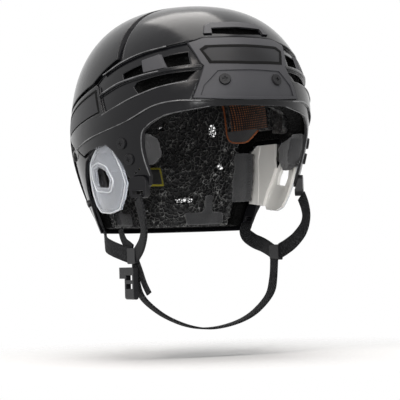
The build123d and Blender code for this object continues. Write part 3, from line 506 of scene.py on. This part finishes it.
def badge_paint():
    """Satin plate of the badge recesses, a little darker than its cover."""
    paint = Paint("badge", specular_ior_level=0.16)
    grain = paint.noise(scale=1500, detail=2, rough=0.6)
    cloud = paint.noise(scale=30, detail=2)
    paint.to("Normal", paint.bump(grain, strength=0.15, distance=0.0002, under=paint.round_edges(0.0005)))
    paint.to("Base Color", paint.ramp(cloud, [(0.3, (0.012, 0.012, 0.013)), (0.7, (0.018, 0.018, 0.02))]))
    paint.to("Roughness", paint.ramp(grain, [(0.3, 0.34), (0.7, 0.44)]))
    return paint.material


def crackle(name, dark, light, scale, rough, shine):
    """Moulded lattice foam: dark irregular cells with thin light walls, whose lightness is partly painted
    glint and fades in patches.
    """
    paint = Paint(name, specular_ior_level=shine)
    # The cells bend, because their coordinates wander by about the width of one cell
    warp = paint.node("VectorMath", operation="ADD")
    wander = paint.node("TexNoise")
    wander.inputs["Scale"].default_value = scale * 0.8
    paint.link(paint.coordinates.outputs["Object"], wander.inputs["Vector"])
    shrink = paint.node("VectorMath", operation="SCALE")
    shrink.inputs["Scale"].default_value = 1.1 / scale
    paint.link(wander.outputs["Color"], shrink.inputs[0])
    paint.link(paint.coordinates.outputs["Object"], warp.inputs[0])
    paint.link(shrink.outputs["Vector"], warp.inputs[1])
    wall = paint.cells(scale, warp.outputs["Vector"])
    fine = paint.noise(scale=scale * 6, detail=3, rough=0.7)
    # The walls fade in patches, a painted variation of their glints
    glint_patches = paint.ramp(paint.noise(scale=scale * 0.5, detail=2), [(0.4, 0), (0.62, 1)])
    edge = paint.math("ADD", wall, paint.math("MULTIPLY", fine, 0.05))
    edge = paint.math("ADD", edge, paint.math("MULTIPLY", glint_patches, 0.035))
    paint.to("Base Color", paint.ramp(edge, [(0.035, light), (0.085, dark), (0.5, dark)]))
    paint.to("Roughness", paint.ramp(edge, [(0.03, rough), (0.2, min(1, rough + 0.35))]))
    height = paint.ramp(edge, [(0.02, 1), (0.16, 0.25), (0.4, 0)])
    paint.to("Normal", paint.bump(height, strength=0.9, distance=0.0011))
    return paint.material


def knit_paint(name, dark, light):
    """Soft knit over foam: small loops in rows."""
    paint = Paint(name, sheen_weight=0.3, sheen_roughness=0.5)
    rows = paint.wave(paint.place(), scale=900, direction="Z")
    columns = paint.wave(paint.place(turn=(0, 0, 0.3)), scale=720, direction="Y")
    loops = paint.math("MULTIPLY", rows, columns)
    cloud = paint.noise(scale=90, detail=3, rough=0.6)
    paint.to("Base Color", paint.ramp(paint.weigh(loops, cloud, share=0.45), [(0.15, dark), (0.75, light)]))
    paint.to("Normal", paint.bump(loops, strength=0.5, distance=0.0004))
    paint.to("Roughness", paint.ramp(cloud, [(0.3, 0.75), (0.7, 0.9)]))
    return paint.material


def mesh_paint():
    """Black spacer mesh with rows of small holes, through which a patchy orange layer shows."""
    paint = Paint("mesh_pad", sheen_weight=0.15, sheen_roughness=0.5, specular_ior_level=0.3)
    rows = paint.wave(paint.place(), scale=150, direction="Z")
    columns = paint.wave(paint.place(turn=(0, 0, 0.35)), scale=120, direction="Y")
    ragged = paint.noise(scale=260, detail=3, rough=0.7)
    dots = paint.math("MULTIPLY", paint.math("MULTIPLY", rows, columns), ragged)
    holes = paint.ramp(dots, [(0.2, 0), (0.42, 1)])
    glow = paint.noise(scale=40, detail=2)
    orange = paint.ramp(glow, [(0.35, (0.62, 0.2, 0.06)), (0.65, (0.16, 0.055, 0.02))])
    mix = paint.node("Mix", data_type="RGBA")
    factor, black, layer, result = mix.inputs[0], mix.inputs[6], mix.inputs[7], mix.outputs[2]
    paint.link(holes, factor)
    black.default_value = (0.006, 0.006, 0.006, 1)
    paint.link(orange, layer)
    paint.to("Base Color", result)
    paint.to("Normal", paint.bump(holes, strength=0.6, distance=-0.0006))
    paint.to("Roughness", paint.ramp(glow, [(0.3, 0.7), (0.7, 0.9)]))
    return paint.material


def piping_paint():
    """Orange stitched piping."""
    paint = Paint("piping", sheen_weight=0.2, specular_ior_level=0.3)
    stitch = paint.wave(paint.place(turn=(0.4, 0.2, 0)), scale=520, direction="Z")
    paint.to("Base Color", paint.ramp(stitch, [(0.2, (0.12, 0.03, 0.008)), (0.7, (0.62, 0.16, 0.03))]))
    paint.to("Normal", paint.bump(stitch, strength=0.6, distance=0.0004))
    paint.to("Roughness", paint.ramp(stitch, [(0.3, 0.75), (0.7, 0.6)]))
    return paint.material


def webbing_paint():
    """Black speckled webbing with crossed slanted ribs, laid along the strap by its own coordinates."""
    paint = Paint("webbing", sheen_weight=0.015, sheen_roughness=0.45, specular_ior_level=0.1)
    slant = paint.wave(paint.place(turn=(0, 0, 0.7), uv=True), scale=150, direction="X")
    counter = paint.wave(paint.place(turn=(0, 0, -0.7), uv=True), scale=150, direction="X")
    weave = paint.math("MAXIMUM", slant, paint.math("MULTIPLY", counter, 0.8))
    speckle = paint.noise(scale=650, detail=4, rough=0.75)
    shade = paint.weigh(weave, speckle, share=0.75)
    paint.to("Base Color", paint.ramp(shade, [(0.52, (0.001, 0.001, 0.0013)), (0.7, (0.046, 0.047, 0.05))]))
    paint.to("Normal", paint.bump(weave, strength=0.7, distance=0.0004))
    paint.to("Roughness", paint.ramp(speckle, [(0.3, 0.6), (0.7, 0.85)]))
    return paint.material


def guard_paint(name, clear, low, high):
    """Plastic of the ear guards, clear or milky, in two tones; the milky copy is painted light, for a guard
    lit from behind.
    """
    paint = Paint(name, ior=1.46, roughness=0.16, transmission_weight=clear)
    ripple = paint.noise(scale=60, detail=2)
    cloud = paint.noise(scale=34, detail=3, rough=0.6)
    paint.to("Normal", paint.bump(ripple, strength=0.1, distance=0.001, under=paint.round_edges(0.0009)))
    paint.to("Base Color", paint.ramp(cloud, [(0.3, low), (0.7, high)]))
    return paint.material


def guard_highlight_paint():
    """Raised edge of the guards, bright as a painted highlight."""
    paint = Paint("guard_highlight_bead", ior=1.46, roughness=0.15, transmission_weight=0.35)
    cloud = paint.noise(scale=120, detail=2)
    # The near-white colour is a painted highlight along the guard's edge
    paint.to("Base Color", paint.ramp(cloud, [(0.3, (0.82, 0.86, 0.9)), (0.7, (0.95, 0.96, 0.97))]))
    paint.to("Normal", paint.bump(paint.noise(scale=300, detail=2), strength=0.1, distance=0.0003))
    return paint.material


def gap_shade_paint():
    """Black line round the badges: painted shade of the gap round each."""
    paint = Paint("gap_shade_ring", specular_ior_level=0.08)
    grain = paint.noise(scale=1600, detail=2, rough=0.6)
    paint.to("Normal", paint.bump(grain, strength=0.15, distance=0.0002))
    # The near-black colour is painted shade of the gap round the badges
    paint.to("Base Color", paint.ramp(grain, [(0.3, 0.002), (0.7, 0.006)]))
    paint.to("Roughness", paint.ramp(grain, [(0.3, 0.65), (0.7, 0.8)]))
    return paint.material


def hardware_paint(name, color, rough, metallic, shine):
    """Brushed metal or black plastic of screws, nuts and studs, lighter along its edges."""
    paint = Paint(name, metallic=metallic, specular_ior_level=shine)
    brushed = paint.noise(scale=900, detail=3, rough=0.6)
    worn = [min(1, part * 1.8 + 0.03) for part in color]
    paint.to("Normal", paint.bump(brushed, strength=0.12, distance=0.0001, under=paint.round_edges(0.0004)))
    paint.to("Base Color", paint.edge_wear_and_highlight(0.0004, face=color, edge=worn))
    paint.to("Roughness", paint.ramp(brushed, [(0.3, rough), (0.7, rough + 0.15)]))
    return paint.material


def fitting_paint():
    """Satin black moulded clips and buckles."""
    paint = Paint("fitting", specular_ior_level=0.18)
    grain = paint.noise(scale=1400, detail=2, rough=0.6)
    paint.to("Normal", paint.bump(grain, strength=0.2, distance=0.0002, under=paint.round_edges(0.0006)))
    paint.to("Base Color", paint.edge_wear_and_highlight(0.0006, face=(0.006, 0.006, 0.007), edge=(0.035, 0.035, 0.037)))
    paint.to("Roughness", paint.ramp(grain, [(0.3, 0.36), (0.7, 0.5)]))
    return paint.material


def make_paints():
    """The materials by slot, and those of the trims by their own names."""
    return {
        "shell": shell_paint(),
        "shell_edge_highlight": shell_highlight_paint(),
        "matte_cover": cover_paint(),
        "badge": badge_paint(),
        # Near black: the foam's own dark tone, deepened as painted shade inside the vents
        "foam": crackle("foam", dark=0.001, light=0.008, scale=260, rough=0.5, shine=0.08),
        # Light walls, partly their own tone and partly painted glint
        "lattice_pad": crackle(
            "lattice_pad", dark=(0.002, 0.002, 0.0025), light=(0.32, 0.32, 0.31),
            scale=240, rough=0.2, shine=0.4,
        ),
        "mesh_pad": mesh_paint(),
        "piping": piping_paint(),
        "comfort_pad": knit_paint("comfort_pad", dark=(0.016, 0.016, 0.017), light=(0.1, 0.1, 0.104)),
        "temple_lining": knit_paint("temple_lining", dark=(0.008, 0.008, 0.009), light=(0.045, 0.045, 0.047)),
        "ear_guard": guard_paint("ear_guard", clear=0.8, low=(0.78, 0.82, 0.9), high=(0.92, 0.94, 0.97)),
        # Whiter, less clear copy of the guard plastic: painted light shining through from behind
        "painted_backlit_guard": guard_paint("painted_backlit_guard", clear=0.2, low=(0.93, 0.91, 0.86), high=(0.97, 0.95, 0.91)),
        "guard_highlight_bead": guard_highlight_paint(),
        "gap_shade_ring": gap_shade_paint(),
        "screw": hardware_paint("screw", color=(0.005, 0.005, 0.006), rough=0.35, metallic=0, shine=0.25),
        "nut": hardware_paint("nut", color=(0.6, 0.6, 0.6), rough=0.3, metallic=1, shine=0.5),
        "stud": hardware_paint("stud", color=(0.012, 0.012, 0.013), rough=0.3, metallic=0, shine=0.3),
        "fitting": fitting_paint(),
        "webbing": webbing_paint(),
        "tag": knit_paint("tag", dark=0.01, light=0.03),
        "tag_edge": knit_paint("tag_edge", dark=(0.3, 0.26, 0.01), light=(0.75, 0.66, 0.03)),
    }


def paint_node(name, material):
    mesh = nodes[name].data
    mesh.materials.clear()
    mesh.materials.append(material)


# Meshes
def add_piece(name, mesh, material, body=None):
    piece = bpy.data.objects.new(name, mesh)
    bpy.context.scene.collection.objects.link(piece)
    mesh.materials.clear()
    mesh.materials.append(material)
    if body:
        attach(piece, body)
    return piece


def as_mesh(build, name):
    """Mesh of a finished build, which is then closed."""
    mesh = bpy.data.meshes.new(name)
    build.to_mesh(mesh)
    build.free()
    return mesh


def skin(build, rings):
    """Faces between each two neighbouring rings of points."""
    made = []
    for first, second in zip(rings, rings[1:]):
        for index in range(len(first)):
            after = (index + 1) % len(first)
            made.append(build.faces.new((first[index], first[after], second[after], second[index])))
    return made


def turn_outwards(build):
    bmesh.ops.recalc_face_normals(build, faces=build.faces[:])


def spline(points, step):
    """Evenly close points on a smooth line through the given ones."""
    ends = [points[0] * 2 - points[1], *points, points[-1] * 2 - points[-2]]
    line = []
    for before, start, end, after in zip(ends, ends[1:], ends[2:], ends[3:]):
        count = max(2, round((end - start).length / step))
        for index in range(count):
            t = index / count
            line.append(
                0.5 * (2 * start + (end - before) * t + (2 * before - 5 * start + 4 * end - after) * t**2
                       + (3 * start - before - 3 * end + after) * t**3)
            )
    return line + [points[-1]]


def ribbon(name, points, normals, width):
    """Flat webbing with soft edges along a smooth line, with coordinates in metres along and across it."""
    line = spline(points, ribbon_step)
    tilt = spline(normals, 1)
    half, thick = width / 2, strap_thickness / 2
    section = [(way * a * half, way * b * thick) for way in (1, -1) for a, b in strap_section]
    build = bmesh.new()
    layer = build.loops.layers.uv.new("along")
    rings = []
    runs = []
    run = 0
    for index, point in enumerate(line):
        back = line[max(0, index - 1)]
        ahead = line[min(len(line) - 1, index + 1)]
        tangent = (ahead - back).normalized()
        share = index / (len(line) - 1) * (len(tilt) - 1)
        low = int(min(share, len(tilt) - 2))
        normal = tilt[low].lerp(tilt[low + 1], share - low)
        across = tangent.cross(normal).normalized()
        up = across.cross(tangent).normalized()
        rings.append([build.verts.new(point + across * a + up * b) for a, b in section])
        runs.append(run)
        run += (ahead - point).length
    for number, face in enumerate(skin(build, rings)):
        ring, index = divmod(number, len(section))
        near, far = section[index][0], section[(index + 1) % len(section)][0]
        along = (runs[ring], runs[ring], runs[ring + 1], runs[ring + 1])
        face.smooth = True
        for loop, u, v in zip(face.loops, along, (near, far, far, near)):
            loop[layer].uv = (u, v)
    build.faces.new(reversed(rings[0]))
    build.faces.new(rings[-1])
    turn_outwards(build)
    return as_mesh(build, name)


def tube(name, points, radius, around):
    """Round bead along a smooth line."""
    line = spline(points, tube_step)
    turns = [2 * math.pi * index / around for index in range(around)]
    build = bmesh.new()
    rings = []
    for index, point in enumerate(line):
        tangent = (line[min(len(line) - 1, index + 1)] - line[max(0, index - 1)]).normalized()
        out = Vector((point.x, point.y, 0)).normalized()
        across = tangent.cross(out).normalized()
        out = across.cross(tangent)
        ways = [across * math.cos(turn) + out * math.sin(turn) for turn in turns]
        rings.append([build.verts.new(point + way * radius) for way in ways])
    for face in skin(build, rings):
        face.smooth = True
    build.faces.new(rings[0][::-1])
    build.faces.new(rings[-1])
    turn_outwards(build)
    return as_mesh(build, name)


def rounded_loop(outline):
    """Closed outline with a point on each side of every corner, and points along its sides."""
    points = []
    for before, corner, after in zip([outline[-1], *outline], outline, [*outline[1:], outline[0]]):
        for other, shares in ((before, corner_shares), (after, corner_shares[:0:-1])):
            points += [[a + (b - a) * share for a, b in zip(corner, other)] for share in shares]
    return points + [points[0]]


def gap_shade_ring(outline, width, depth, place, sign):
    """Flat ring along the inside of a closed outline on the form."""
    middle = [sum(values) / len(outline) for values in zip(*outline)]
    span = [max(values) - min(values) for values in zip(*outline)]
    build = bmesh.new()
    rings = []
    for start, end in zip(outline, [*outline[1:], outline[0]]):
        for step in range(shade_ring_steps):
            corner = [a + (b - a) * step / shade_ring_steps for a, b in zip(start, end)]
            inner = [c + (m - c) * 2 * width / s for c, m, s in zip(corner, middle, span)]
            ring = ((corner, 0), (inner, 0), (inner, shade_ring_thickness), (corner, shade_ring_thickness))
            rings.append([build.verts.new(place(*spot, depth + lower, sign)) for spot, lower in ring])
    skin(build, rings + rings[:1])
    turn_outwards(build)
    return as_mesh(build, "gap_shade_ring")


def net(inner, outer, width, height, sign, seed):
    """Irregular strands of the moulded lattice that cross a rear vent."""
    inner, outer = [Vector((sign * place[0], *place[1:])) for place in (inner, outer)]
    way = (outer - inner).normalized()
    across = way.cross(Vector((0, 0, 1))).normalized()
    up = across.cross(way)
    columns, rows = [max(2, round(size / strand_spacing)) + 1 for size in (width, height)]
    step_i, step_j, step_seed = noise_steps
    build = bmesh.new()
    grid = []
    for i in range(columns + 1):
        grid.append([])
        for j in range(rows + 1):
            where = Vector((i * step_i + seed, j * step_j, seed * step_seed))
            stray = noise.noise_vector(where) * knot_stray
            a = (i / columns - 0.5) * (width + net_margin) + stray.x
            b = (j / rows - 0.5) * (height + net_margin) + stray.y
            depth = net_depth + stray.z * stray_depth_share
            grid[-1].append(build.verts.new(inner + way * depth + across * a + up * b))
    # Two cells in five are split by one more strand
    split = []
    for i in range(columns):
        for j in range(rows):
            face = build.faces.new((grid[i][j], grid[i + 1][j], grid[i + 1][j + 1], grid[i][j + 1]))
            if (i * 3 + j * 2) % 5 < 2:
                split.append(face)
    bmesh.ops.triangulate(build, faces=split)
    bmesh.ops.wireframe(
        build, faces=build.faces[:], thickness=strand_thickness, use_replace=True, use_boundary=True,
        use_even_offset=True,
    )
    return as_mesh(build, "net")


def sheet(name, rows):
    """Thin closed sheet from rows of point pairs, one on each face."""
    build = bmesh.new()
    grid = [[(build.verts.new(face), build.verts.new(back)) for face, back in row] for row in rows]
    last_row, last = len(grid) - 1, len(grid[0]) - 1
    for i in range(last_row):
        for j in range(last):
            for side, order in ((0, 1), (1, -1)):
                corners = ((i, j), (i, j + 1), (i + 1, j + 1), (i + 1, j))
                build.faces.new([grid[a][b][side] for a, b in corners[::order]])
    for i in range(last_row):
        for j in (0, last):
            build.faces.new((grid[i][j][0], grid[i][j][1], grid[i + 1][j][1], grid[i + 1][j][0]))
    for j in range(last):
        for i in (0, last_row):
            build.faces.new((grid[i][j][0], grid[i][j][1], grid[i][j + 1][1], grid[i][j + 1][0]))
    turn_outwards(build)
    for face in build.faces:
        face.smooth = True
    return as_mesh(build, name)


def panel(name, outline, thickness, sign):
    """Sheet on the sides of the rear pad, along an outline of y, low level and high level."""
    depth = pad_face_depth + panel_gap
    lines = []
    for j in range(panel_columns + 1):
        share = j / panel_columns * (len(outline) - 1)
        first = min(int(share), len(outline) - 2)
        y, low, high = [a + (b - a) * (share - first) for a, b in zip(outline[first], outline[first + 1])]
        levels = [low + (high - low) * i / panel_rows for i in range(panel_rows + 1)]
        lines.append([
            (side_point(y, level, depth + thickness, sign), side_point(y, level, depth, sign))
            for level in levels
        ])
    return sheet(name, lines)


def label(name, low, high, low_ends, high_ends, gap, thickness):
    """Sheet on the back of the rear pad, with slanted ends."""
    depth = pad_face_depth + gap
    lines = []
    for i in range(label_rows + 1):
        level = low + (high - low) * i / label_rows
        start, end = [a + (b - a) * i / label_rows for a, b in zip(low_ends, high_ends)]
        places = [start + (end - start) * j / label_columns for j in range(label_columns + 1)]
        lines.append([(back_point(x, level, depth + thickness), back_point(x, level, depth)) for x in places])
    return sheet(name, lines)


def soft_copy(node):
    """A node's shape as fine even quads with its edges softened."""
    piece = bpy.data.objects.new(node, nodes[node].data.copy())
    bpy.context.scene.collection.objects.link(piece)
    remesh = piece.modifiers.new("even", "REMESH")
    remesh.mode = "VOXEL"
    remesh.voxel_size = pad_voxel
    smooth = piece.modifiers.new("soft", "SMOOTH")
    smooth.iterations = pad_rounds
    smooth.factor = pad_relax
    ready = bpy.data.meshes.new_from_object(piece.evaluated_get(bpy.context.evaluated_depsgraph_get()))
    bpy.data.objects.remove(piece)
    ready.name = node
    for face in ready.polygons:
        face.use_smooth = True
    return ready


# Pieces
def add_pads(paints):
    soft = ["front_foam", "rear_foam", "brow_pad", "crown_pad", "rear_pad", "nape_pad"]
    soft += [f"{kind}_{side}" for kind in ("side_pad", "temple_pad", "ear_pad") for side, _ in sides]
    for node in soft:
        paint = paints["temple_lining" if node.startswith("temple") else slots[node]]
        piece = add_piece("soft_" + node, soft_copy(node), paint, nodes[node]["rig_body"])
        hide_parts(node)


def add_straps(paint):
    for side, sign in sides:
        outward = Vector((sign, 0, 0))
        for node, route in (("front_strap_" + side, front_route), ("rear_strap_" + side, rear_route)):
            points = [Vector((sign * x, y, z)) for x, y, z in route]
            normals = [outward] * len(points)
            if node.startswith("rear"):
                leaned = Vector((sign * rear_lean[0], rear_lean[1], 0))
                normals = [leaned] * rear_leaned + normals[rear_leaned:]
            mesh = ribbon(node, points, normals, strap_width)
            piece = add_piece("woven_" + node, mesh, paint)
            if node.startswith("rear"):
                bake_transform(piece)
            else:
                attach(piece, "front")
            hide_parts(node)

    left = [Vector(point) for point in chin_route]
    points = [Vector((-p.x, p.y, p.z)) for p in left] + list(reversed(left[:-1]))
    drop = left[0].z - left[-1].z
    normals = [Vector((p.x / half_width, 0, min(0, p.z - left[0].z) / drop)) for p in points]
    mesh = ribbon("chin", points, normals, strap_width)
    piece = add_piece("woven_chin_strap", mesh, paint, "front")
    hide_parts("chin_strap")

    # The tail and the free end hang on the right, by the buckle
    for node, route in (("strap_tail", tail_route), ("strap_end", free_route)):
        points = [Vector((-x, y, z)) for x, y, z in route]
        mesh = ribbon(node, points, [Vector((-1, 0, 0))] * len(points), tail_width)
        piece = add_piece("woven_" + node, mesh, paint, "front")
        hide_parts(node)


def add_trims(paints):
    for side, sign in sides:
        mesh = panel("mesh_panel", mesh_outline, mesh_thickness, sign)
        add_piece("mesh_panel_" + side, mesh, paints["mesh_pad"], "rear")
        mesh = panel("mesh_border", border_outline, border_thickness, sign)
        add_piece("mesh_border_" + side, mesh, paints["comfort_pad"], "rear")
        points = [side_point(y, level, pad_face_depth + piping_gap, sign) for y, level in piping_line]
        mesh = tube("piping", points, piping_radius, bead_sides)
        add_piece("piping_" + side, mesh, paints["piping"], "rear")

        # Beads along each guard's outline and hole, bright as a painted highlight
        for name, outline in (("guard_edge_", guard_edge), ("guard_rim_", guard_rim)):
            points = [side_point(y, level, bead_depth, sign) for y, level in rounded_loop(outline)]
            mesh = tube("bead", points, bead_radius, bead_sides)
            add_piece(name + side, mesh, paints["guard_highlight_bead"], "front")
        # Beads along the shell's edges, in a lighter colour that is a painted highlight
        for index, (depth, line) in enumerate(shell_edges):
            points = [side_point(y, level, depth, sign) for y, level in line]
            mesh = tube("shell_edge_highlight", points, edge_radius, edge_sides)
            add_piece(f"shell_edge_highlight_{side}_{index + 1}", mesh, paints["shell_edge_highlight"], "front")
        # Black ring round the side badge: painted shade of the gap round it
        mesh = gap_shade_ring(side_gap_shade, side_shade_width, side_shade_depth, side_point, sign)
        add_piece("side_gap_shade_" + side, mesh, paints["gap_shade_ring"], "front")
        for index, (inner, outer, width, height) in enumerate(rear_vents):
            mesh = net(inner, outer, width, height, sign, index + first_seed)
            add_piece(f"vent_net_{side}_{index + 1}", mesh, paints["lattice_pad"], "rear")

    # Black ring round the brow badge: painted shade of the gap round it
    outline = brow_gap_shade + [(-x, level) for x, level in reversed(brow_gap_shade) if x]
    mesh = gap_shade_ring(outline, brow_shade_width, brow_shade_depth, front_point, 1)
    add_piece("brow_gap_shade", mesh, paints["gap_shade_ring"], "front")

    mesh = label("tag_edge", *tag_place, tag_gap, tag_thickness)
    edge = add_piece("tag_edge", mesh, paints["tag_edge"], "rear")
    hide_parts("liner_tag")
    mesh = label("tag_field", *tag_field, field_gap, field_thickness)
    add_piece("tag_field", mesh, paints["tag"], "rear")


def main():
    add_camera()
    add_world()
    add_floor()
    for lamp in lamps:
        add_area(*lamp)

    paints = make_paints()
    for node, slot in slots.items():
        paint_node(node, paints[slot])
    # The left guard takes the whiter, less clear copy: painted light from behind it
    paint_node("ear_guard_left", paints["painted_backlit_guard"])

    add_pads(paints)
    add_straps(paints["webbing"])
    add_trims(paints)

    bpy.context.scene.view_settings.view_transform = "Standard"


main()
